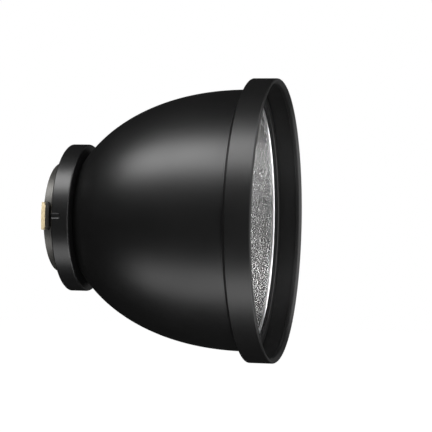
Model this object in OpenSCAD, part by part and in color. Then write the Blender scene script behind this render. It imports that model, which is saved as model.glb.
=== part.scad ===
// Studio flash bell reflector on a three-lug bayonet mount.
// The optical axis is +X, pointing out of the mouth. The origin is the centre of the bayonet seat:
// everything with a negative x goes into the lamp head.

/* [Front collar] */
// Outer diameter of the front collar
collar_d = 280; // [270:1:290]
// Width of the front collar along the axis
collar_w = 24.6; // [22:0.1:30]
// Distance from the bayonet seat to the front rim
rim_x = 210.6; // [205:0.1:215]
// Wall thickness of the collar beside the accessory recess
collar_wall = 3.2; // [2.5:0.1:4]
// How far the lip reaches in past the recess wall
lip_reach = 1.6; // [1:0.1:2]
// Number of rivets round the mouth
rivet_count = 12; // [6:1:24]

/* [Bell] */
// Outer diameter of the bell at its mouth
bell_d = 258; // [256:0.2:259]
// Depth of the closed bell curve, from the mouth to its imaginary tip
bell_depth = 184.7; // [182:0.1:186]
// Power of the bell curve: 2 is a plain ellipse, more is fuller at the mouth
bell_power = 2.13; // [2:0.01:2.3]
// Sheet thickness of the bell
bell_t = 1.5; // [1:0.1:1.6]
// Sheet thickness of the bright liner
liner_t = 0.7; // [0.5:0.1:0.8]
// Air gap between the bell and the liner
liner_gap = 0.6; // [0.4:0.1:0.8]

/* [Bayonet] */
// Outer diameter of the grip collar at the rear
grip_d = 147.6; // [146:0.2:150]
// Width of the grip collar
grip_w = 17.8; // [17:0.1:18]
// Outer diameter of the spigot that enters the lamp head
spigot_d = 109; // [108:0.5:110]
// Wall thickness of the spigot
spigot_wall = 4; // [3.5:0.1:4.5]
// How far the spigot stands out behind the seat
spigot_l = 13.8; // [13:0.1:15]
// Diameter of the hole at the bottom of the bell, for the lamp's glass dome
dome_d = 92; // [88:1:94]
// Outer diameter over the bayonet lugs
lug_d = 123.2; // [121:0.2:125]
// Angle that each lug spans
lug_span = 25.4; // [20:0.2:30]
// Turn of the whole bayonet about the axis
bayonet_turn = 1; // [-5:0.5:5]

/* [Seat plungers] */
// Diameter of a plunger's nose
nose_d = 4; // [3.5:0.1:4.5]
// How far a plunger's nose stands out of the seat
nose_out = 1.5; // [1:0.1:2]
// Distance of the plungers from the axis
plunger_r = 67.4; // [67:0.1:68]
// Wire diameter of a plunger's spring
spring_wire = 0.5; // [0.4:0.1:0.6]

/* [Hidden] */
$fn = 96;

BLACK = [0.07, 0.07, 0.07];
SATIN_BLACK = [0.11, 0.11, 0.11];
BRIGHT = [0.85, 0.86, 0.87];
STEEL = [0.62, 0.62, 0.62];
CAST_GREY = [0.36, 0.35, 0.33];
CREAM = [0.80, 0.75, 0.62];
FELT = [0.20, 0.19, 0.18];

LUGS = 3;
// the first lug points to the side that faces -Y
LUG_START = -90 - bayonet_turn;
LUG_PITCH = 360 / LUGS;
slip = 0.2;
close_fit = 0.1;
run = 0.05;
// how far a cutter runs past the faces it opens
over = 1;
// overlap of two shapes joined into one solid
join = 0.01;

// mouth of the bell, read from the rim backwards
collar_r = collar_d / 2;
recess_r = collar_r - collar_wall;
lip_r = recess_r - lip_reach;
collar_back_x = rim_x - collar_w;
rim_round = 2;
back_round = 0.7;
bell_r = bell_d / 2;
// the bell's curve ends this far behind the collar
mouth_gap = 4;
bell_mouth_x = collar_back_x - mouth_gap;
web_step = 0.6;
web_x = bell_mouth_x + web_step;
web_t = 0.9;
flange_x = web_x + web_t;
flange_t = 0.9;
flange_w = 5;
flange_r = bell_r + flange_w;
mouth_ring_x = flange_x + flange_t;
mouth_ring_t = 3.1;
mouth_ring_front_x = mouth_ring_x + mouth_ring_t;
mouth_ring_reach = 0.8;
mouth_ring_r = flange_r + mouth_ring_reach;
mouth_ring_chamfer = 0.6;
mouth_lip_t = 0.8;
liner_rim_x = flange_x;
liner_rim_r = bell_r - bell_t - close_fit;
liner_inset = bell_t + liner_gap;
lip_l = 0.3;
lip_chamfer = 2.6;
retainer_w = 3.6;
retainer_t = 2.5;
retainer_proud = 0.1;
retainer_chamfer = 0.3;
retainer_split = 9;
rivet_r = (bell_r + flange_r) / 2;
rivet_shank_r = 1.25;
rivet_head_r = 2.1;
rivet_head_t = 0.7;
rivet_recess = 0.8;
RIVET_PITCH = 360 / rivet_count;

// rear of the bell and the bayonet
SMALL_SCREWS = 6;
grip_r = grip_d / 2;
grip_round = 2;
spigot_r = spigot_d / 2;
spigot_in_r = spigot_r - spigot_wall;
dome_r = dome_d / 2;
grip_chamfer = 0.8;
spigot_chamfer = 0.4;
plate_t = 2.5;
plate_gap = 0.8;
plate_in_r = spigot_r + plate_gap;
plate_rebate = 1.8;
plate_r = grip_r - plate_rebate;
spigot_flange_t = 4;
spigot_flange_x = plate_t + spigot_flange_t;
spigot_flange_w = 8.5;
spigot_flange_r = spigot_r + spigot_flange_w;
neck_x = 13.5;
neck_lip_t = 4;
neck_lip_x = neck_x - neck_lip_t;
gasket_t = 1;
gasket_reach = 0.5;
gasket_r = spigot_r + gasket_reach;
base_x = neck_x + gasket_t;
bell_recess_gap = 0.4;
bell_recess_r = bell_point(0, bell_angle(0, grip_w))[0] + bell_recess_gap;
neck_proud = 0.5;
bell_recess_x = neck_x - neck_proud;
neck_ring_x = base_x + bell_t + liner_t;
neck_ring_t = 1.4;
neck_ring_front_x = neck_ring_x + neck_ring_t;
neck_ring_inset = 1.5;
neck_ring_r = spigot_r - neck_ring_inset;
neck_ring_chamfer = 0.4;
neck_screw_r = (spigot_r + dome_r) / 2;
neck_screw_turn = 180 / SMALL_SCREWS;
neck_hole_floor = 0.5;
neck_screw_clear = 0.3;
m3_r = 1.5;
m3_head_r = 2.75;
m3_head_t = 1.8;
m3_sunk_head_t = 1.5;
m3_sunk = 0.2;
collar_screw_inset = 4.5;
collar_screw_r = spigot_r + collar_screw_inset;
collar_screw_l = 9.5;
collar_screw_turn = LUG_START + 180 / SMALL_SCREWS;

// lugs
lug_r = lug_d / 2;
pad_t = 3.9;
base_t = 3.8;
lug_chamfer = 3.3;
lug_chamfer_t = 2;
lug_fit = 0.05;
pad_screw_r = 1;
pad_screw_l = 6.3;
pad_screw_hole_l = 6.7;
pad_head_r = 1.9;
pad_head_t = 1.1;
pad_head_sunk = 0.3;
pad_screw_turn = 7.5;
pad_screw_circle_r = (spigot_r + lug_r) / 2;
base_screw_r = 0.8;
base_screw_l = 6.2;
base_screw_sunk = 0.3;
base_screw_turn = 3;
base_screw_x = -spigot_l + pad_t + base_t / 2;

// index mark on the grip collar
mark_w = 5.6;
mark_l = 9.5;
mark_depth = 0.9;

// plungers
nose_r = nose_d / 2;
nose_round = 1;
plunger_flange_r = nose_r + 1.1;
plunger_flange_t = 1.5;
plunger_stub_r = 1.2;
plunger_stub_l = 2;
plunger_bore_r = plunger_flange_r + run;
plunger_bore_end_x = 13;
plunger_turn = LUG_PITCH / 2;
spring_inset = 0.2;
spring_r = nose_r - spring_inset;
spring_turns = 6;
spring_sides = 10;
steps_per_turn = 16;

// Angle on the bell curve at which a skin, inset from the outer one, reaches a place along the axis
function bell_angle(inset, x) = asin(pow((bell_mouth_x - x) / (bell_depth - inset), bell_power / 2));
// Distance from the axis and place along it, at an angle on the curve of such a skin
function bell_point(inset, angle) = [
    (bell_r - inset) * cos(angle),
    bell_mouth_x - (bell_depth - inset) * pow(sin(angle), 2 / bell_power)
];
function bell_curve(inset, end_x, steps = 44) = [
    for (i = [0 : steps]) bell_point(inset, bell_angle(inset, end_x) * i / steps)
];
function reversed(points) = [for (i = [len(points) - 1 : -1 : 0]) points[i]];
function arc(centre, r, from, to, steps = 6) = [
    for (i = [0 : steps]) let (a = from + (to - from) * i / steps) centre + r * [cos(a), sin(a)]
];

// Turns a profile of [distance from the axis, place along the axis] about +X
module turned(points, angle = 360, fn = 192) {
    rotate([0, 90, 0])
        rotate_extrude(angle = angle, $fn = fn)
            polygon(points);
}

// Puts children made along +Z into the row's frame, at an angle round the axis and a distance from it
module round_axis(angle, r = 0, x = 0) {
    rotate([0, 90, 0])
        rotate(angle)
            translate([r, 0, x])
                children();
}

module six_round(r, x, start = 0) {
    for (i = [0 : SMALL_SCREWS - 1])
        round_axis(start + i * 360 / SMALL_SCREWS, r, x)
            children();
}

// ---------- bell ----------

module bell_shell() {
    outer = bell_curve(0, base_x);
    inner = bell_curve(bell_t, base_x + bell_t);
    color(BLACK)
        difference() {
            turned(concat(
                [
                    [bell_r - bell_t, mouth_ring_x],
                    [flange_r, mouth_ring_x],
                    [flange_r, flange_x],
                    [bell_r, flange_x]
                ],
                outer,
                [[dome_r, base_x], [dome_r, base_x + bell_t]],
                reversed(inner)
            ));
            rivet_holes();
            neck_screw_holes();
        }
}

module reflector_liner() {
    outer = bell_curve(liner_inset, base_x + bell_t);
    inner = bell_curve(liner_inset + liner_t, base_x + bell_t + liner_t);
    color(BRIGHT)
        difference() {
            turned(concat(
                [[liner_rim_r - liner_t, liner_rim_x], [liner_rim_r, liner_rim_x]],
                outer,
                [[dome_r, base_x + bell_t], [dome_r, neck_ring_x]],
                reversed(inner)
            ));
            neck_screw_holes();
        }
}

// ---------- front collar ----------

module front_collar() {
    retainer_front_x = rim_x - lip_l - lip_chamfer;
    retainer_back_x = retainer_front_x - retainer_w;
    groove_r = lip_r + retainer_t;
    color(BLACK)
        difference() {
            turned(concat(
                [[lip_r + lip_chamfer, rim_x]],
                arc([collar_r - rim_round, rim_x - rim_round], rim_round, 90, 0),
                arc([collar_r - back_round, collar_back_x + back_round], back_round, 0, -90),
                [
                    [flange_r, web_x],
                    [bell_r + slip, web_x],
                    [bell_r + slip, flange_x],
                    [flange_r + slip, flange_x],
                    [recess_r, collar_back_x],
                    [recess_r, retainer_back_x],
                    [groove_r, retainer_back_x],
                    [groove_r, retainer_front_x],
                    [lip_r, retainer_front_x],
                    [lip_r, rim_x - lip_chamfer]
                ]
            ));
            rivet_holes();
        }
}

// Split ring that springs out into the groove behind the lip, its gap facing -Y
module grid_retaining_ring() {
    front_x = rim_x - lip_l - lip_chamfer - slip;
    back_x = front_x - retainer_w + 2 * slip;
    inner_r = lip_r - retainer_proud;
    outer_r = lip_r + retainer_t - slip;
    color(SATIN_BLACK)
        rotate([-90 + retainer_split / 2, 0, 0])
            turned([
                [inner_r + retainer_chamfer, back_x],
                [outer_r, back_x],
                [outer_r, front_x],
                [inner_r + retainer_chamfer, front_x],
                [inner_r, front_x - retainer_chamfer],
                [inner_r, back_x + retainer_chamfer]
            ], angle = 360 - retainer_split);
}

module liner_clamp_ring() {
    lip_out_r = bell_r - bell_t - slip;
    lip_in_r = lip_out_r - mouth_lip_t;
    color(SATIN_BLACK)
        difference() {
            turned([
                [lip_in_r, liner_rim_x],
                [lip_in_r, mouth_ring_front_x - mouth_ring_chamfer],
                [lip_in_r + mouth_ring_chamfer, mouth_ring_front_x],
                [mouth_ring_r, mouth_ring_front_x],
                [mouth_ring_r, mouth_ring_x],
                [lip_out_r, mouth_ring_x],
                [lip_out_r, liner_rim_x]
            ]);
            rivet_holes();
            each_rivet(mouth_ring_front_x - rivet_recess)
                cylinder(h = rivet_recess + over, r = rivet_head_r, $fn = 32);
        }
}

module each_rivet(x) {
    for (i = [0 : rivet_count - 1])
        round_axis((i + 0.5) * RIVET_PITCH, rivet_r, x)
            children();
}

module rivet_holes() {
    each_rivet(web_x - over)
        cylinder(h = mouth_ring_front_x - web_x + 2 * over, r = rivet_shank_r, $fn = 32);
}

// Flush rivets: the head fills a counterbore in the clamp ring
module rim_rivets() {
    shank_l = mouth_ring_front_x - rivet_recess - web_x;
    color(SATIN_BLACK)
        each_rivet(web_x) {
            cylinder(h = shank_l, r = rivet_shank_r, $fn = 32);
            translate([0, 0, shank_l])
                cylinder(h = rivet_head_t, r = rivet_head_r - run, $fn = 32);
        }
}

// ---------- neck ----------

module neck_screw_holes() {
    hole_x = neck_lip_x + neck_hole_floor;
    six_round(neck_screw_r, hole_x, neck_screw_turn)
        cylinder(h = neck_ring_front_x + over - hole_x, r = m3_r, $fn = 32);
}

module neck_clamp_ring() {
    color(SATIN_BLACK)
        difference() {
            turned([
                [dome_r, neck_ring_x],
                [neck_ring_r, neck_ring_x],
                [neck_ring_r, neck_ring_front_x - neck_ring_chamfer],
                [neck_ring_r - neck_ring_chamfer, neck_ring_front_x],
                [dome_r + neck_ring_chamfer, neck_ring_front_x],
                [dome_r, neck_ring_front_x - neck_ring_chamfer]
            ]);
            neck_screw_holes();
        }
}

module neck_gasket() {
    color(FELT)
        difference() {
            turned([[dome_r, neck_x], [gasket_r, neck_x], [gasket_r, base_x], [dome_r, base_x]]);
            neck_screw_holes();
        }
}

// Low round heads with a cross slot, their shanks ending in the spigot's lip
module neck_screws() {
    side_t = m3_head_t / 3;
    crown_r = m3_head_r / 2;
    shank_x = neck_lip_x + neck_hole_floor + neck_screw_clear;
    color(STEEL)
        six_round(neck_screw_r, 0, neck_screw_turn)
            difference() {
                union() {
                    translate([0, 0, shank_x])
                        cylinder(h = neck_ring_front_x - shank_x, r = m3_r, $fn = 32);
                    translate([0, 0, neck_ring_front_x])
                        rotate_extrude($fn = 32)
                            polygon(concat(
                                [[0, 0], [m3_head_r, 0]],
                                head_curve(m3_head_r, crown_r, side_t, m3_head_t),
                                [[0, m3_head_t]]
                            ));
                }
                translate([0, 0, neck_ring_front_x + m3_head_t])
                    cross_slot(m3_head_r);
            }
}

// Quarter of an ellipse from a head's side, at one height, to its crown at another
function head_curve(side_r, crown_r, low, high, steps = 6) = [
    for (i = [0 : steps]) let (a = 90 * i / steps)
        [crown_r + (side_r - crown_r) * cos(a), low + (high - low) * sin(a)]
];

module cross_slot(head_r) {
    length = head_r * 1.1;
    width = head_r * 0.22;
    depth = head_r * 0.3;
    for (turn = [0, 90])
        rotate(turn)
            cube([length, width, 2 * depth], center = true);
}

// ---------- bayonet ----------

module grip_collar() {
    color(BLACK)
        difference() {
            turned(concat(
                [
                    [plate_r + close_fit, 0],
                    [grip_r - grip_chamfer, 0],
                    [grip_r, grip_chamfer]
                ],
                arc([grip_r - grip_round, grip_w - grip_round], grip_round, 0, 90),
                [
                    [bell_recess_r, grip_w],
                    [bell_recess_r, bell_recess_x],
                    [spigot_r + slip, bell_recess_x],
                    [spigot_r + slip, spigot_flange_x],
                    [spigot_flange_r + slip, spigot_flange_x],
                    [spigot_flange_r + slip, plate_t],
                    [plate_r + close_fit, plate_t]
                ]
            ));
            collar_screw_holes();
            index_mark();
            for (i = [0 : LUGS - 1])
                at_plunger(i)
                    translate([0, 0, plate_t - over])
                        cylinder(h = plunger_bore_end_x - plate_t + over, r = plunger_bore_r, $fn = 48);
        }
}

// Shallow milled mark from the collar's rear edge, with a rounded end, in line with the first lug
module index_mark() {
    round_axis(LUG_START, grip_r - mark_depth)
        rotate([0, 90, 0])
            linear_extrude(height = mark_depth + over) {
                translate([-mark_l + mark_w / 2, 0])
                    circle(d = mark_w, $fn = 48);
                translate([-mark_l + mark_w / 2, -mark_w / 2])
                    square([mark_l, mark_w]);
            }
}

module collar_screw_holes() {
    six_round(collar_screw_r, -over, collar_screw_turn)
        cylinder(h = collar_screw_l + over + slip, r = m3_r, $fn = 32);
}

module at_plunger(i) {
    round_axis(LUG_START + plunger_turn + i * LUG_PITCH, plunger_r)
        children();
}

// Thin plate that is the seat and keeps the plungers in
module seat_plate() {
    color(SATIN_BLACK)
        difference() {
            turned([[plate_in_r, 0], [plate_r, 0], [plate_r, plate_t], [plate_in_r, plate_t]]);
            collar_screw_holes();
            six_round(collar_screw_r, -join, collar_screw_turn)
                cylinder(
                    h = m3_sunk + m3_sunk_head_t + close_fit,
                    r1 = m3_head_r + m3_sunk,
                    r2 = m3_r,
                    $fn = 32
                );
            for (i = [0 : LUGS - 1])
                at_plunger(i)
                    translate([0, 0, -over])
                        cylinder(h = plate_t + 2 * over, r = nose_r + run, $fn = 48);
        }
}

// Countersunk screws through the seat plate and the spigot's flange into the grip collar
module collar_screws() {
    color(STEEL)
        six_round(collar_screw_r, m3_sunk, collar_screw_turn)
            difference() {
                union() {
                    cylinder(h = m3_sunk_head_t, r1 = m3_head_r, r2 = m3_r, $fn = 32);
                    translate([0, 0, m3_sunk_head_t])
                        cylinder(h = collar_screw_l - m3_sunk - m3_sunk_head_t, r = m3_r, $fn = 32);
                }
                cross_slot(m3_head_r);
            }
}

module bayonet_spigot() {
    color(CAST_GREY)
        difference() {
            turned([
                [spigot_in_r + spigot_chamfer, -spigot_l],
                [spigot_r - spigot_chamfer, -spigot_l],
                [spigot_r, -spigot_l + spigot_chamfer],
                [spigot_r, plate_t],
                [spigot_flange_r, plate_t],
                [spigot_flange_r, spigot_flange_x],
                [spigot_r, spigot_flange_x],
                [spigot_r, neck_x],
                [dome_r, neck_x],
                [dome_r, neck_lip_x],
                [spigot_in_r, neck_lip_x],
                [spigot_in_r, -spigot_l + spigot_chamfer]
            ]);
            neck_screw_holes();
            collar_screw_holes();
            for (i = [0 : LUGS - 1])
                at_lug(i)
                    base_screw_holes();
        }
}

// ---------- lugs ----------

module at_lug(i, turn = 0, r = 0, x = 0) {
    round_axis(LUG_START + i * LUG_PITCH + turn, r, x)
        children();
}

// Block on the outside of the spigot that spans the lug's angle, its outer corners cut back towards +X
module lug_block(x, length) {
    half_w = lug_r * sin(lug_span / 2);
    depth = 20;
    intersection() {
        translate([0, 0, x])
            difference() {
                cylinder(h = length, r = lug_r, $fn = 192);
                translate([0, 0, -over])
                    cylinder(h = length + 2 * over, r = spigot_r + lug_fit, $fn = 192);
            }
        translate([lug_r + over - depth, 0, x])
            rotate([90, 0, 90])
                linear_extrude(height = depth)
                    polygon([
                        [-half_w, 0],
                        [half_w, 0],
                        [half_w, length - lug_chamfer_t],
                        [half_w - lug_chamfer, length],
                        [-half_w + lug_chamfer, length],
                        [-half_w, length - lug_chamfer_t]
                    ]);
    }
}

module lug_base(i) {
    color(BLACK)
        at_lug(i)
            difference() {
                lug_block(-spigot_l + pad_t, base_t);
                pad_screw_holes();
                base_screw_holes();
            }
}

module lug_pad(i) {
    color(CREAM)
        at_lug(i)
            difference() {
                lug_block(-spigot_l, pad_t);
                pad_screw_holes();
                for (side = [-1, 1])
                    rotate(side * pad_screw_turn)
                        translate([pad_screw_circle_r, 0, -spigot_l - over])
                            cylinder(h = over + pad_head_sunk + pad_head_t, r = pad_head_r + run, $fn = 32);
            }
}

module pad_screw_holes() {
    for (side = [-1, 1])
        rotate(side * pad_screw_turn)
            translate([pad_screw_circle_r, 0, -spigot_l + pad_head_sunk])
                cylinder(h = pad_screw_hole_l, r = pad_screw_r, $fn = 24);
}

module lug_pad_screws() {
    color(STEEL)
        for (i = [0 : LUGS - 1], side = [-1, 1])
            at_lug(i, side * pad_screw_turn, pad_screw_circle_r, -spigot_l + pad_head_sunk)
                difference() {
                    union() {
                        cylinder(h = pad_head_t, r = pad_head_r, $fn = 32);
                        cylinder(h = pad_screw_l, r = pad_screw_r, $fn = 24);
                    }
                    cross_slot(pad_head_r);
                }
}

// Holes for the two grub screws that hold a lug's base, from inside the spigot into the base
module base_screw_holes() {
    for (side = [-1, 1])
        rotate(side * base_screw_turn)
            translate([spigot_in_r - over, 0, base_screw_x])
                rotate([0, 90, 0])
                    cylinder(h = over + base_screw_sunk + base_screw_l + over, r = base_screw_r, $fn = 24);
}

module lug_base_screws() {
    color(STEEL)
        for (i = [0 : LUGS - 1], side = [-1, 1])
            at_lug(i, side * base_screw_turn, spigot_in_r + base_screw_sunk, base_screw_x)
                rotate([0, 90, 0])
                    cylinder(h = base_screw_l, r = base_screw_r, $fn = 24);
}

// ---------- seat plungers ----------

// Round-nosed pin with a flange that the seat plate holds back and a stub inside its spring
module seat_plunger(i) {
    pin_x = plate_t + run;
    color(STEEL)
        at_plunger(i)
            rotate_extrude($fn = 48)
                polygon(concat(
                    [[0, -nose_out]],
                    arc([nose_r - nose_round, -nose_out + nose_round], nose_round, -90, 0),
                    [
                        [nose_r, pin_x],
                        [plunger_flange_r, pin_x],
                        [plunger_flange_r, pin_x + plunger_flange_t],
                        [plunger_stub_r, pin_x + plunger_flange_t],
                        [plunger_stub_r, pin_x + plunger_flange_t + plunger_stub_l],
                        [0, pin_x + plunger_flange_t + plunger_stub_l]
                    ]
                ));
}

// Round wire wound on a helix, swept ring by ring
module plunger_spring(i) {
    bottom = plate_t + run + plunger_flange_t + spring_wire / 2 + run;
    top = plunger_bore_end_x - spring_wire / 2 - run;
    steps = spring_turns * steps_per_turn;
    rings = [
        for (s = [0 : steps]) let (a = 360 * s / steps_per_turn, z = bottom + (top - bottom) * s / steps)
            [
                for (k = [0 : spring_sides - 1])
                    let (b = 360 * k / spring_sides, r = spring_r + spring_wire / 2 * cos(b))
                        [r * cos(a), r * sin(a), z + spring_wire / 2 * sin(b)]
            ]
    ];
    points = [for (ring = rings) for (p = ring) p];
    sides = [
        for (s = [0 : steps - 1], k = [0 : spring_sides - 1])
            let (n = (k + 1) % spring_sides, a = s * spring_sides, b = a + spring_sides)
                [a + k, b + k, b + n, a + n]
    ];
    ends = [
        [for (k = [0 : spring_sides - 1]) k],
        [for (k = [spring_sides - 1 : -1 : 0]) steps * spring_sides + k]
    ];
    color(STEEL)
        at_plunger(i)
            polyhedron(points, concat(sides, ends));
}

bell_shell();
reflector_liner();
front_collar();
grid_retaining_ring();
liner_clamp_ring();
rim_rivets();
neck_clamp_ring();
neck_screws();
neck_gasket();
grip_collar();
collar_screws();
seat_plate();
bayonet_spigot();
for (i = [0 : LUGS - 1]) {
    lug_base(i);
    lug_pad(i);
    seat_plunger(i);
    plunger_spring(i);
}
lug_base_screws();
lug_pad_screws();
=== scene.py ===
import math

import bmesh
import bpy
from mathutils import Matrix, Vector, noise


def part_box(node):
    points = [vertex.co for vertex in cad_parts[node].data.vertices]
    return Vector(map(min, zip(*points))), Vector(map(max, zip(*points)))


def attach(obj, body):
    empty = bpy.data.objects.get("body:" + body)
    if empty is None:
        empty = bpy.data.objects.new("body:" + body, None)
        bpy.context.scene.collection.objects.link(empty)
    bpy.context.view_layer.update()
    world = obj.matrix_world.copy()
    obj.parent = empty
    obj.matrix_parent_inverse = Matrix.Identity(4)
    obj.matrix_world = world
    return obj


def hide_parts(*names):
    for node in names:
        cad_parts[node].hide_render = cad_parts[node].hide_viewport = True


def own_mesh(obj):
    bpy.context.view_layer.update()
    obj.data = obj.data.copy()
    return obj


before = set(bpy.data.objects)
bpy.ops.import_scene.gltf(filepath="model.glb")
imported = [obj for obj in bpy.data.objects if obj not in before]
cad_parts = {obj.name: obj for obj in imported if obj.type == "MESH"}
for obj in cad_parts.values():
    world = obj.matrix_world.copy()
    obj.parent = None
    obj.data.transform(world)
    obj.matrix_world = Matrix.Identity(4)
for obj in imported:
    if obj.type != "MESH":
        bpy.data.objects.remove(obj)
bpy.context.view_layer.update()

MM = 0.001
BODY = "reflector"

# ---------- dimensions, tied to the frame's own boxes ----------

RIM_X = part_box("front_collar")[1].x
COLLAR_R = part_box("front_collar")[1].z
COLLAR_W = 24.6 * MM
COLLAR_BACK_X = RIM_X - COLLAR_W
COLLAR_WALL = 3.2 * MM
RECESS_R = COLLAR_R - COLLAR_WALL
LIP_REACH = 1.6 * MM
LIP_R = RECESS_R - LIP_REACH
LIP_L = 0.3 * MM
LIP_CHAMFER = 2.6 * MM
RIM_ROUND = 2.0 * MM
BACK_ROUND = 0.7 * MM
SOFT_EDGE = 0.2 * MM
GROOVE_W = 3.6 * MM
GROOVE_DEPTH = 2.5 * MM
SLIP = 0.2 * MM

BELL_R = 129 * MM
BELL_DEPTH = 184.7 * MM
BELL_POWER = 2.13
BELL_T = 1.5 * MM
MOUTH_GAP = 4 * MM
BELL_MOUTH_X = COLLAR_BACK_X - MOUTH_GAP
BASE_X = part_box("bell_shell")[0].x
FLANGE_FRONT_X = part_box("bell_shell")[1].x
FLANGE_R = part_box("bell_shell")[1].z
FLANGE_T = 0.9 * MM
FLANGE_W = 5 * MM
WEB_STEP = 0.6 * MM
WEB_X = BELL_MOUTH_X + WEB_STEP
WEB_FRONT_X = FLANGE_FRONT_X - FLANGE_T
DOME_R = 46 * MM

LINER_OUT_INSET = 2.1 * MM
LINER_IN_INSET = 2.8 * MM
LINER_T = LINER_IN_INSET - LINER_OUT_INSET
LINER_RIM_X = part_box("reflector_liner")[1].x
LINER_RIM_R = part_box("reflector_liner")[1].z - LINER_T

GRIP_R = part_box("grip_collar")[1].z
GRIP_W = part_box("grip_collar")[1].x
GRIP_ROUND = 2 * MM
GRIP_CHAMFER = 0.8 * MM
GRIP_SOFT_EDGE = 0.3 * MM
BELL_RECESS_R = 61.1 * MM
BELL_RECESS_X = 13 * MM
SPIGOT_BORE_R = 54.7 * MM
SPIGOT_FLANGE_R = 63.2 * MM
SPIGOT_FLANGE_X = 6.5 * MM
SEAT_REBATE_X = 2.5 * MM
SEAT_REBATE_INSET = 1.7 * MM
SEAT_REBATE_R = GRIP_R - SEAT_REBATE_INSET


def bell_angle(inset, x):
    """Angle on the bell curve at which a skin inset from the outer one reaches a place along the axis."""
    return math.asin(((BELL_MOUTH_X - x) / (BELL_DEPTH - inset)) ** (BELL_POWER / 2))


def bell_point(inset, angle):
    radius = (BELL_R - inset) * math.cos(angle)
    return radius, BELL_MOUTH_X - (BELL_DEPTH - inset) * math.sin(angle) ** (2 / BELL_POWER)


def bell_curve(inset, end_x, steps):
    end = bell_angle(inset, end_x)
    return [bell_point(inset, end * i / steps) for i in range(steps + 1)]


# ---------- camera ----------

CAMERA_AT = Vector((0.502, -1.6013, 0.0))
CAMERA_YAW = math.radians(12.483)
CAMERA_PITCH = math.radians(0.137)
CAMERA_ROLL = math.radians(1.005)
CAMERA_LENS = 137.8
SENSOR_W = 36


def make_camera():
    camera = bpy.data.objects.new("camera", bpy.data.cameras.new("camera"))
    camera.data.lens = CAMERA_LENS
    camera.data.sensor_width = SENSOR_W
    ahead = Vector((
        -math.sin(CAMERA_YAW) * math.cos(CAMERA_PITCH),
        math.cos(CAMERA_YAW) * math.cos(CAMERA_PITCH),
        math.sin(CAMERA_PITCH),
    ))
    level = ahead.cross(Vector((0, 0, 1))).normalized()
    above = level.cross(ahead)
    right = math.cos(CAMERA_ROLL) * level + math.sin(CAMERA_ROLL) * above
    up = right.cross(ahead)
    turn = Matrix((right, up, -ahead)).transposed()
    camera.matrix_world = Matrix.Translation(CAMERA_AT) @ turn.to_4x4()
    bpy.context.collection.objects.link(camera)
    bpy.context.scene.camera = camera


make_camera()

# ---------- mesh tools ----------


def new_piece(name, mesh, *materials):
    piece = bpy.data.objects.new(name, mesh)
    bpy.context.collection.objects.link(piece)
    for material in materials:
        mesh.materials.append(material)
    return piece


CORNER_STEPS = 4
NORMAL_WEIGHT = 60


def round_corner(before, here, after, radius):
    """An outline's corner as an arc that touches both of its sides."""
    here = Vector(here)
    to_before = (Vector(before) - here).normalized()
    to_after = (Vector(after) - here).normalized()
    half = to_before.angle(to_after) / 2
    centre = here + (to_before + to_after).normalized() * (radius / math.sin(half))
    start = here + to_before * (radius / math.tan(half)) - centre
    end = here + to_after * (radius / math.tan(half)) - centre
    sweep = math.atan2(start.x * end.y - start.y * end.x, start.dot(end))
    arc = []
    for i in range(CORNER_STEPS + 1):
        angle = sweep * i / CORNER_STEPS
        c, s = math.cos(angle), math.sin(angle)
        arc.append((centre.x + c * start.x - s * start.y, centre.y + s * start.x + c * start.y))
    return arc


def outline(corners):
    """A closed outline from corners of (distance from the axis, place along it, radius of the corner)."""
    points = []
    for i, (r, x, radius) in enumerate(corners):
        if radius:
            before, after = corners[i - 1][:2], corners[(i + 1) % len(corners)][:2]
            points.extend(round_corner(before, (r, x), after, radius))
        else:
            points.append((r, x))
    return points


def even_angles(count):
    return [2 * math.pi * i / count for i in range(count)]


def solid_mesh(name, verts, faces):
    """A smooth-shaded closed mesh with its faces turned outwards."""
    mesh = bpy.data.meshes.new(name)
    mesh.from_pydata(verts, [], faces)
    work = bmesh.new()
    work.from_mesh(mesh)
    bmesh.ops.recalc_face_normals(work, faces=work.faces)
    work.to_mesh(mesh)
    work.free()
    mesh.polygons.foreach_set("use_smooth", [True] * len(mesh.polygons))
    mesh.update()
    return mesh


def revolve(name, profile, angles, reach=None):
    """A closed profile turned about the X axis. Angle 0 faces -Y, and angles rise towards +Z."""
    verts = []
    for a in angles:
        c, s = math.cos(a), math.sin(a)
        for k, (r, x) in enumerate(profile):
            if reach:
                r = reach(k, r, x, a)
            verts.append((x, -r * c, r * s))
    count = len(profile)
    faces = []
    for i in range(len(angles)):
        j = (i + 1) % len(angles)
        for k in range(count):
            m = (k + 1) % count
            faces.append((i * count + k, j * count + k, j * count + m, i * count + m))
    return solid_mesh(name, verts, faces)


def weigh_normals(piece):
    modifier = piece.modifiers.new("weighted normals", "WEIGHTED_NORMAL")
    modifier.weight = NORMAL_WEIGHT


def stand_in(piece, node):
    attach(piece, BODY)
    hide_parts(node)


# ---------- material tools ----------

# nearly all of a noise factor lies between these two
NOISE_LOW = 0.3
NOISE_HIGH = 0.7


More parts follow.
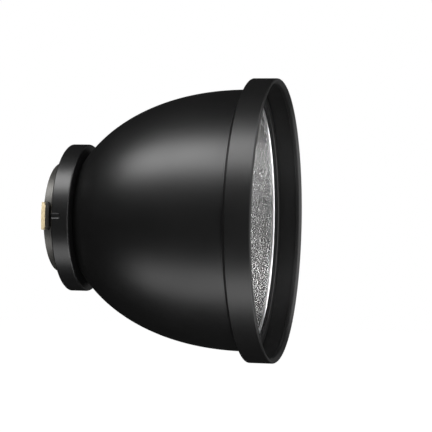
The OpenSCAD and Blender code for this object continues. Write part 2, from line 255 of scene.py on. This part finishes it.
class Shader:
    """A Principled material and short calls that add nodes to it."""

    def __init__(self, name, colour, roughness, metallic=0.0, specular=0.5):
        self.material = bpy.data.materials.new(name)
        self.material.use_nodes = True
        self.tree = self.material.node_tree
        self.surface = self.tree.nodes["Principled BSDF"]
        self.set("Base Color", (*colour, 1))
        self.set("Roughness", roughness)
        self.set("Metallic", metallic)
        self.set("Specular IOR Level", specular)
        self.place = self.tree.nodes.new("ShaderNodeTexCoord").outputs["Object"]

    def set(self, socket, value):
        self.surface.inputs[socket].default_value = value

    def link(self, output, socket):
        self.tree.links.new(output, self.surface.inputs[socket])

    def noise(self, size, detail=3):
        """Noise whose features are about size metres across."""
        node = self.tree.nodes.new("ShaderNodeTexNoise")
        node.inputs["Scale"].default_value = 1 / size
        node.inputs["Detail"].default_value = detail
        self.tree.links.new(self.place, node.inputs["Vector"])
        return node.outputs["Fac"]

    def ramp(self, factor, low_colour, high_colour):
        """Blends two colours over the middle of a noise factor."""
        node = self.tree.nodes.new("ShaderNodeValToRGB")
        node.color_ramp.elements[0].position = NOISE_LOW
        node.color_ramp.elements[1].position = NOISE_HIGH
        node.color_ramp.elements[0].color = (*low_colour, 1)
        node.color_ramp.elements[1].color = (*high_colour, 1)
        self.tree.links.new(factor, node.inputs["Fac"])
        return node.outputs["Color"]

    def spread(self, factor, low, high):
        """Maps the middle of a noise factor onto low to high."""
        node = self.tree.nodes.new("ShaderNodeMapRange")
        node.inputs["From Min"].default_value = NOISE_LOW
        node.inputs["From Max"].default_value = NOISE_HIGH
        node.inputs["To Min"].default_value = low
        node.inputs["To Max"].default_value = high
        self.tree.links.new(factor, node.inputs["Value"])
        return node.outputs["Result"]

    def bump(self, height, depth):
        node = self.tree.nodes.new("ShaderNodeBump")
        node.inputs["Distance"].default_value = depth
        self.tree.links.new(height, node.inputs["Height"])
        self.link(node.outputs["Normal"], "Normal")


def coated_black(name, tone, roughness, specular=0.5):
    """A black coat, faintly uneven in tone and gloss, with a fine grain."""
    gloss_patch, tone_patch, grain = 38 * MM, 9 * MM, 0.35 * MM
    grain_depth = 0.01 * MM
    uneven = 0.015
    # blue is a touch stronger than red and green
    dark, light, light_blue, mean_blue = 0.88, 1.12, 1.16, 1.03
    shader = Shader(name, (tone, tone, tone * mean_blue), roughness, specular=specular)
    cloud = shader.noise(gloss_patch, detail=2)
    shader.link(shader.spread(cloud, roughness - uneven, roughness + uneven), "Roughness")
    low = (tone * dark,) * 3
    high = (tone * light, tone * light, tone * light_blue)
    shader.link(shader.ramp(shader.noise(tone_patch), low, high), "Base Color")
    shader.bump(shader.noise(grain, detail=2), grain_depth)
    return shader.material


BLACK_COAT = coated_black("black_coat", 0.0035, 0.38)
BLACK_MATTE = coated_black("black_matte", 0.007, 0.42, specular=0.45)
BLACK_INSIDE = coated_black("black_inside", 0.006, 0.42, specular=0.33)
GRIP_BLACK = coated_black("grip_black", 0.006, 0.34)


def bright_metal():
    """Hammered bright metal: the fine pebbles that the mesh is too coarse for are bump."""
    pebbles, patches = 1.3 * MM, 3 * MM
    pebble_depth = 0.6 * MM
    shader = Shader("bright_liner", (0.9, 0.9, 0.9), 0.1, metallic=1.0)
    fine = shader.noise(pebbles, detail=2)
    shader.link(shader.spread(fine, 0.08, 0.16), "Roughness")
    tint = shader.noise(patches, detail=2)
    shader.link(shader.ramp(tint, (0.50, 0.50, 0.50), (0.68, 0.68, 0.68)), "Base Color")
    shader.bump(fine, pebble_depth)
    return shader.material


BRIGHT_LINER = bright_metal()


def bright_rim():
    """The liner's smooth rim, with a faint satin unevenness."""
    patches = 1.5 * MM
    shader = Shader("bright_rim", (0.93, 0.93, 0.94), 0.3, metallic=1.0)
    fine = shader.noise(patches, detail=2)
    shader.link(shader.spread(fine, 0.28, 0.34), "Roughness")
    shader.link(shader.ramp(fine, (0.90, 0.90, 0.91), (0.95, 0.95, 0.95)), "Base Color")
    return shader.material


BRIGHT_RIM = bright_rim()


def cast_grey():
    """A bead-blasted casting, mottled in tone and gloss."""
    grain, grain_depth = 0.5 * MM, 0.02 * MM
    shader = Shader("cast_grey", (0.08, 0.078, 0.074), 0.42, metallic=0.6)
    blasted = shader.noise(grain, detail=4)
    shader.link(shader.ramp(blasted, (0.058, 0.057, 0.053), (0.105, 0.102, 0.096)), "Base Color")
    shader.link(shader.spread(blasted, 0.37, 0.47), "Roughness")
    shader.bump(blasted, grain_depth)
    return shader.material


CAST_GREY = cast_grey()


def plastic(name, low, high, roughness):
    """Moulded plastic or felt, cloudy in tone and finely uneven in gloss."""
    clouds, gloss_patch, grain = 2.5 * MM, 0.6 * MM, 0.4 * MM
    grain_depth = 0.01 * MM
    uneven = 0.06
    shader = Shader(name, high, roughness)
    cloud = shader.noise(clouds, detail=4)
    shader.link(shader.ramp(cloud, low, high), "Base Color")
    gloss = shader.noise(gloss_patch)
    shader.link(shader.spread(gloss, roughness - uneven, roughness + uneven), "Roughness")
    shader.bump(shader.noise(grain), grain_depth)
    return shader.material


CREAM_PAD = plastic("cream_pad", (0.56, 0.46, 0.29), (0.68, 0.56, 0.35), 0.45)
LUG_BLACK = plastic("lug_black", (0.012, 0.010, 0.008), (0.020, 0.017, 0.014), 0.5)
GASKET_FELT = plastic("gasket_felt", (0.05, 0.047, 0.043), (0.09, 0.085, 0.08), 0.85)


def steel(name, low, high, roughness):
    """Turned steel with a fine grain."""
    grain, grain_depth = 0.25 * MM, 0.004 * MM
    uneven = 0.07
    shader = Shader(name, high, roughness, metallic=1.0)
    turned = shader.noise(grain)
    shader.link(shader.ramp(turned, low, high), "Base Color")
    shader.link(shader.spread(turned, roughness - uneven, roughness + uneven), "Roughness")
    shader.bump(turned, grain_depth)
    return shader.material


SCREW_STEEL = steel("screw_steel", (0.42, 0.42, 0.43), (0.55, 0.55, 0.56), 0.32)
BLACK_SCREW = steel("black_screw", (0.020, 0.020, 0.021), (0.035, 0.035, 0.036), 0.45)

# ---------- bell ----------

AROUND = 288
BELL_STEPS = 110


def make_bell():
    inner_r = BELL_R - BELL_T
    profile = [
        (inner_r, FLANGE_FRONT_X),
        (FLANGE_R, FLANGE_FRONT_X),
        (FLANGE_R, WEB_FRONT_X),
        (BELL_R, WEB_FRONT_X),
    ]
    profile += bell_curve(0, BASE_X, BELL_STEPS)
    profile += [(DOME_R, BASE_X), (DOME_R, BASE_X + BELL_T)]
    profile += bell_curve(BELL_T, BASE_X + BELL_T, BELL_STEPS)[::-1]
    piece = new_piece("bell_skin", revolve("bell_skin", profile, even_angles(AROUND)), BLACK_COAT)
    weigh_normals(piece)
    stand_in(piece, "bell_shell")


make_bell()

# ---------- liner ----------

PEBBLE_SIZE = 2.6 * MM
PEBBLE_DEPTH = 0.30 * MM
PEBBLE_WEIGHT = 0.62
SMALL_PEBBLE_WEIGHT = 0.3
SMALL_PEBBLE_SCALE = 1.9
SMALL_PEBBLE_SHIFT = Vector((7.1, 3.3, 5.7))
LINER_AROUND = 600
LINER_RINGS = 148
# above 1, the rings lie closer together near the mouth's rim
RING_CROWDING = 1.25
LINER_BACK_STEPS = 8
FLARE_STEPS = 5
FLARE_POWER = 1.3
# the sheet is smooth this far in from the mouth, and the pebbles rise over the next stretch
SMOOTH_RIM = 1.6 * MM
RIM_FADE = 1.5 * MM
BASE_FADE = 8 * MM


def pebble(place):
    """Height of the hammered bumps at a place on the sheet, from 0 to 1."""
    spot = place / PEBBLE_SIZE
    coarse = noise.noise(spot)
    fine = noise.noise(spot * SMALL_PEBBLE_SCALE + SMALL_PEBBLE_SHIFT)
    return min(1, max(0, 0.5 + PEBBLE_WEIGHT * coarse + SMALL_PEBBLE_WEIGHT * fine))


def make_liner():
    base_front_x = BASE_X + BELL_T + LINER_T
    end = bell_angle(LINER_IN_INSET, base_front_x)
    shares = [(i / LINER_RINGS) ** RING_CROWDING for i in range(LINER_RINGS + 1)]
    rings = [bell_point(LINER_IN_INSET, end * share) for share in shares]
    flare = []
    for i in range(FLARE_STEPS, 0, -1):
        t = i / FLARE_STEPS
        r = rings[0][0] + (LINER_RIM_R - rings[0][0]) * t ** FLARE_POWER
        flare.append((r, BELL_MOUTH_X + (LINER_RIM_X - BELL_MOUTH_X) * t))
    back = [(DOME_R, base_front_x), (DOME_R, BASE_X + BELL_T)]
    back += bell_curve(LINER_OUT_INSET, BASE_X + BELL_T, LINER_BACK_STEPS)[::-1]
    back.append((LINER_RIM_R + LINER_T, LINER_RIM_X))
    pebbled = range(FLARE_STEPS, FLARE_STEPS + len(rings))

    def reach(k, r, x, angle):
        if k not in pebbled:
            return r
        near_rim = min(1, max(0, (BELL_MOUTH_X - SMOOTH_RIM - x) / RIM_FADE))
        near_base = min(1, max(0, (x - base_front_x) / BASE_FADE))
        place = Vector((x, -r * math.cos(angle), r * math.sin(angle)))
        return r - PEBBLE_DEPTH * near_rim * near_base * pebble(place)

    mesh = revolve("liner_skin", flare + rings + back, even_angles(LINER_AROUND), reach)
    piece = new_piece("liner_skin", mesh, BRIGHT_LINER, BRIGHT_RIM)
    for face in mesh.polygons:
        if face.center.x > BELL_MOUTH_X - SMOOTH_RIM:
            face.material_index = 1
    stand_in(piece, "reflector_liner")


make_liner()

# ---------- front collar ----------


def make_collar():
    groove_r = LIP_R + GROOVE_DEPTH
    groove_front_x = RIM_X - LIP_L - LIP_CHAMFER
    groove_back_x = groove_front_x - GROOVE_W
    inside_r = RECESS_R + GROOVE_DEPTH
    corners = [
        (LIP_R + LIP_CHAMFER, RIM_X, SOFT_EDGE),
        (COLLAR_R, RIM_X, RIM_ROUND),
        (COLLAR_R, COLLAR_BACK_X, BACK_ROUND),
        (BELL_R + FLANGE_W, WEB_X, SOFT_EDGE),
        (BELL_R + SLIP, WEB_X, SOFT_EDGE),
        (BELL_R + SLIP, WEB_FRONT_X, 0),
        (FLANGE_R + SLIP, WEB_FRONT_X, 0),
        (RECESS_R, COLLAR_BACK_X, SOFT_EDGE),
        (RECESS_R, groove_back_x, SOFT_EDGE),
        (groove_r, groove_back_x, 0),
        (groove_r, groove_front_x, 0),
        (LIP_R, groove_front_x, SOFT_EDGE),
        (LIP_R, RIM_X - LIP_CHAMFER, SOFT_EDGE),
    ]
    mesh = revolve("collar_skin", outline(corners), even_angles(AROUND))
    piece = new_piece("collar_skin", mesh, BLACK_COAT, BLACK_INSIDE)
    for face in mesh.polygons:
        if face.center.x < groove_front_x and math.hypot(face.center.y, face.center.z) < inside_r:
            face.material_index = 1
    weigh_normals(piece)
    stand_in(piece, "front_collar")


make_collar()

# ---------- grip collar with its index mark ----------

MARK_TURN = math.radians(1)
MARK_W = 5.6 * MM
MARK_L = 9.5 * MM
MARK_DEPTH = 0.9 * MM
# width of the mark's sloping sides
MARK_EDGE = 1.05 * MM
# half of the stretch with close angles, as a share of the mark's width
MARK_SPAN = 0.75
MARK_ANGLES = 120
# the even angles keep this much further away from the mark than the close ones reach
MARK_MARGIN = 1.1
GRIP_AROUND = 240
WALL_STEP = 0.25 * MM
WALL_FIRST = 4
WALL_LAST = 47


def mark_reach(k, r, x, angle):
    """The collar's outside, cut back inside the milled mark with sloping sides."""
    is_inside = r < GRIP_R - 2 * MARK_DEPTH
    if is_inside:
        return r
    across = abs(math.remainder(angle - MARK_TURN, 2 * math.pi)) * GRIP_R
    along = max(0, x - (MARK_L - MARK_W / 2))
    t = min(1, max(0, (MARK_W / 2 - math.hypot(across, along)) / MARK_EDGE))
    return r - max(0, MARK_DEPTH - (GRIP_R - r)) * t


def make_grip():
    reach = MARK_SPAN * MARK_W / GRIP_R
    angles = [MARK_TURN + reach * (2 * i / MARK_ANGLES - 1) for i in range(MARK_ANGLES + 1)]
    margin = MARK_MARGIN * reach
    for a in even_angles(GRIP_AROUND):
        if margin < (a - MARK_TURN) % (2 * math.pi) < 2 * math.pi - margin:
            angles.append(a)
    angles = sorted((a - MARK_TURN + reach) % (2 * math.pi) for a in angles)
    angles = [a + MARK_TURN - reach for a in angles]
    wall = [(GRIP_R, WALL_STEP * i, 0) for i in range(WALL_FIRST, WALL_LAST + 1)]
    corners = [
        (SEAT_REBATE_R, 0, 0),
        (GRIP_R - GRIP_CHAMFER, 0, 0),
        (GRIP_R, GRIP_CHAMFER, 0),
        *wall,
        (GRIP_R, GRIP_W, GRIP_ROUND),
        (BELL_RECESS_R, GRIP_W, GRIP_SOFT_EDGE),
        (BELL_RECESS_R, BELL_RECESS_X, 0),
        (SPIGOT_BORE_R, BELL_RECESS_X, 0),
        (SPIGOT_BORE_R, SPIGOT_FLANGE_X, 0),
        (SPIGOT_FLANGE_R, SPIGOT_FLANGE_X, 0),
        (SPIGOT_FLANGE_R, SEAT_REBATE_X, 0),
        (SEAT_REBATE_R, SEAT_REBATE_X, 0),
    ]
    mesh = revolve("grip_skin", outline(corners), angles, mark_reach)
    piece = new_piece("grip_skin", mesh, GRIP_BLACK)
    weigh_normals(piece)
    stand_in(piece, "grip_collar")


make_grip()

# ---------- plunger springs ----------

SPRING_WIRE_R = 0.25 * MM
SPRING_TURNS = 6
SPRING_TURN_STEPS = 24
SPRING_SIDES = 12


def coil(name, low, high):
    """Round wire wound on a helix along X that fills the box between two corners."""
    middle = (low + high) / 2
    coil_r = (high.y - low.y) / 2 - SPRING_WIRE_R
    start_x = low.x + SPRING_WIRE_R
    length = high.x - low.x - 2 * SPRING_WIRE_R
    steps = SPRING_TURNS * SPRING_TURN_STEPS
    verts = []
    for i in range(steps + 1):
        turn = 2 * math.pi * i / SPRING_TURN_STEPS
        for k in range(SPRING_SIDES):
            around = 2 * math.pi * k / SPRING_SIDES
            r = coil_r + SPRING_WIRE_R * math.cos(around)
            x = start_x + length * i / steps + SPRING_WIRE_R * math.sin(around)
            verts.append((x, middle.y + r * math.cos(turn), middle.z + r * math.sin(turn)))
    faces = [tuple(range(SPRING_SIDES)), tuple(steps * SPRING_SIDES + k for k in range(SPRING_SIDES))]
    for i in range(steps):
        for k in range(SPRING_SIDES):
            here, nxt = i * SPRING_SIDES + k, i * SPRING_SIDES + (k + 1) % SPRING_SIDES
            faces.append((here, nxt, nxt + SPRING_SIDES, here + SPRING_SIDES))
    return solid_mesh(name, verts, faces)


def make_springs():
    for i in (1, 2, 3):
        node = f"plunger_spring_{i}"
        low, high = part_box(node)
        piece = new_piece(f"coil_{i}", coil(f"coil_{i}", low, high), SCREW_STEEL)
        stand_in(piece, node)
        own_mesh(piece)


make_springs()

# ---------- carried-over CAD nodes ----------

FINISH = {
    "grid_retaining_ring": BLACK_MATTE,
    "liner_clamp_ring": BLACK_MATTE,
    "rim_rivets": BLACK_SCREW,
    "neck_clamp_ring": BLACK_MATTE,
    "neck_screws": SCREW_STEEL,
    "neck_gasket": GASKET_FELT,
    "collar_screws": BLACK_SCREW,
    "seat_plate": BLACK_MATTE,
    "bayonet_spigot": CAST_GREY,
    "lug_base_screws": SCREW_STEEL,
    "lug_pad_screws": SCREW_STEEL,
}
for i in (1, 2, 3):
    FINISH[f"lug_base_{i}"] = LUG_BLACK
    FINISH[f"lug_pad_{i}"] = CREAM_PAD
    FINISH[f"seat_plunger_{i}"] = SCREW_STEEL

for node, material in FINISH.items():
    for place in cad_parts[node].material_slots:
        place.material = material

BEVELS = {"lug_pad": 0.35 * MM, "lug_base": 0.2 * MM}
BEVEL_SEGMENTS = 3
BEVEL_ANGLE = math.radians(30)

for kind, width in BEVELS.items():
    for i in (1, 2, 3):
        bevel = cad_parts[f"{kind}_{i}"].modifiers.new("edges", "BEVEL")
        bevel.width = width
        bevel.segments = BEVEL_SEGMENTS
        bevel.limit_method = "ANGLE"
        bevel.angle_limit = BEVEL_ANGLE

# ---------- stage and light ----------

FLOOR_Z = -0.9
FLOOR_HALF = 12
DIM_LIGHT = 0.006


def make_floor():
    mesh = bpy.data.meshes.new("floor")
    sides = [(-1, -1), (1, -1), (1, 1), (-1, 1)]
    corners = [(FLOOR_HALF * x, FLOOR_HALF * y, FLOOR_Z) for x, y in sides]
    mesh.from_pydata(corners, [], [(0, 1, 2, 3)])
    shader = Shader("floor", (0.9, 0.9, 0.9), 0.9)
    shader.set("Emission Color", (1, 1, 1, 1))
    shader.set("Emission Strength", 1.0)
    # the floor lights nothing, so no light samples are spent on it
    shader.material.cycles.emission_sampling = "NONE"
    floor = new_piece("floor", mesh, shader.material)
    floor.visible_glossy = False
    floor.visible_diffuse = False
    floor.visible_shadow = False


def make_world():
    """White to the camera and dim to everything else, as in a dark studio with a white sweep."""
    world = bpy.data.worlds.new("world")
    world.use_nodes = True
    tree = world.node_tree
    backdrop = tree.nodes["Background"]
    backdrop.inputs["Color"].default_value = (1, 1, 1, 1)
    backdrop.inputs["Strength"].default_value = 1.0
    dim = tree.nodes.new("ShaderNodeBackground")
    dim.inputs["Color"].default_value = (1, 1, 1, 1)
    dim.inputs["Strength"].default_value = DIM_LIGHT
    ray = tree.nodes.new("ShaderNodeLightPath")
    mix = tree.nodes.new("ShaderNodeMixShader")
    tree.links.new(ray.outputs["Is Camera Ray"], mix.inputs["Fac"])
    tree.links.new(dim.outputs["Background"], mix.inputs[1])
    tree.links.new(backdrop.outputs["Background"], mix.inputs[2])
    tree.links.new(mix.outputs["Shader"], tree.nodes["World Output"].inputs["Surface"])
    bpy.context.scene.world = world


def strip(name, right, left, width, radiance, aim):
    """A soft light as long as the way between two ends, turned towards a point."""
    right, left, aim = Vector(right), Vector(left), Vector(aim)
    length = (left - right).length
    data = bpy.data.lights.new(name, "AREA")
    data.shape = "RECTANGLE"
    data.size = length
    data.size_y = width
    data.energy = radiance * length * width * math.pi
    along = (left - right).normalized()
    centre = (left + right) / 2
    away = centre - aim
    away = (away - away.dot(along) * along).normalized()
    across = away.cross(along)
    light = bpy.data.objects.new(name, data)
    light.matrix_world = Matrix.Translation(centre) @ Matrix((along, across, away)).transposed().to_4x4()
    light.visible_camera = False
    bpy.context.collection.objects.link(light)


MOUTH = (0.18, 0.1, 0.0)
MOUTH_AXIS = (0.18, 0.0, 0.0)
MOUTH_REACH = (0.2, 0.0, 0.0)
UPPER_BELL = (0.1, -0.1, 0.05)
LOWER_BELL = (0.1, -0.1, -0.05)


def pair(names, right, left, width, radiances, aim=MOUTH):
    """A strip above the object and its mirror image below."""
    for name, radiance, side in zip(names, radiances, (1, -1)):
        ends = [(x, y, side * z) for x, y, z in (right, left)]
        strip(name, *ends, width, radiance, aim)


def make_lights():
    # the two long highlights on the bell, and their run onto the front collar
    strip("upper_strip", (0.10, -0.785, 1.0), (-1.28, -0.40, 1.0), 0.60, 7.8, UPPER_BELL)
    strip("lower_strip", (0.22, -0.76, -1.0), (-1.10, -0.55, -1.0), 0.60, 2.7, LOWER_BELL)
    pair(("upper_reach", "lower_reach"), (0.45, -0.80, 1.0), (0.20, -0.77, 1.0), 0.25, (11.0, 11.0))
    # a band round the front that lights the liner's pebbles
    strip("mouth_card", (0.95, -1.45, 1.2), (0.95, -1.45, -1.2), 0.16, 7.0, MOUTH)
    turns = ("mouth_turn_top", "mouth_turn_bottom")
    pair(turns, (0.95, -1.45, 1.15), (0.85, -0.95, 1.55), 0.16, (9.5, 9.0))
    pair(("mouth_top", "mouth_bottom"), (0.85, -0.95, 1.55), (0.60, -0.30, 1.6), 0.2, (9.5, 9.0))
    # small lights for the bright spots beside the liner's rim
    pair(("hot_top", "hot_bottom"), (0.95, 0.10, 1.5), (0.85, -0.10, 1.5), 0.2, (20.0, 20.0), MOUTH_AXIS)
    # the lip, faintly from behind, and the recess wall
    strip("back_card", (0.65, 1.5, 0.9), (0.65, 1.5, -0.9), 0.6, 0.18, MOUTH_REACH)
    strip("right_wall", (1.9, 0.1, 1.7), (1.9, 0.1, -1.7), 2.0, 2.1, MOUTH_REACH)


make_floor()
make_world()
make_lights()

bpy.context.scene.view_settings.view_transform = "Standard"
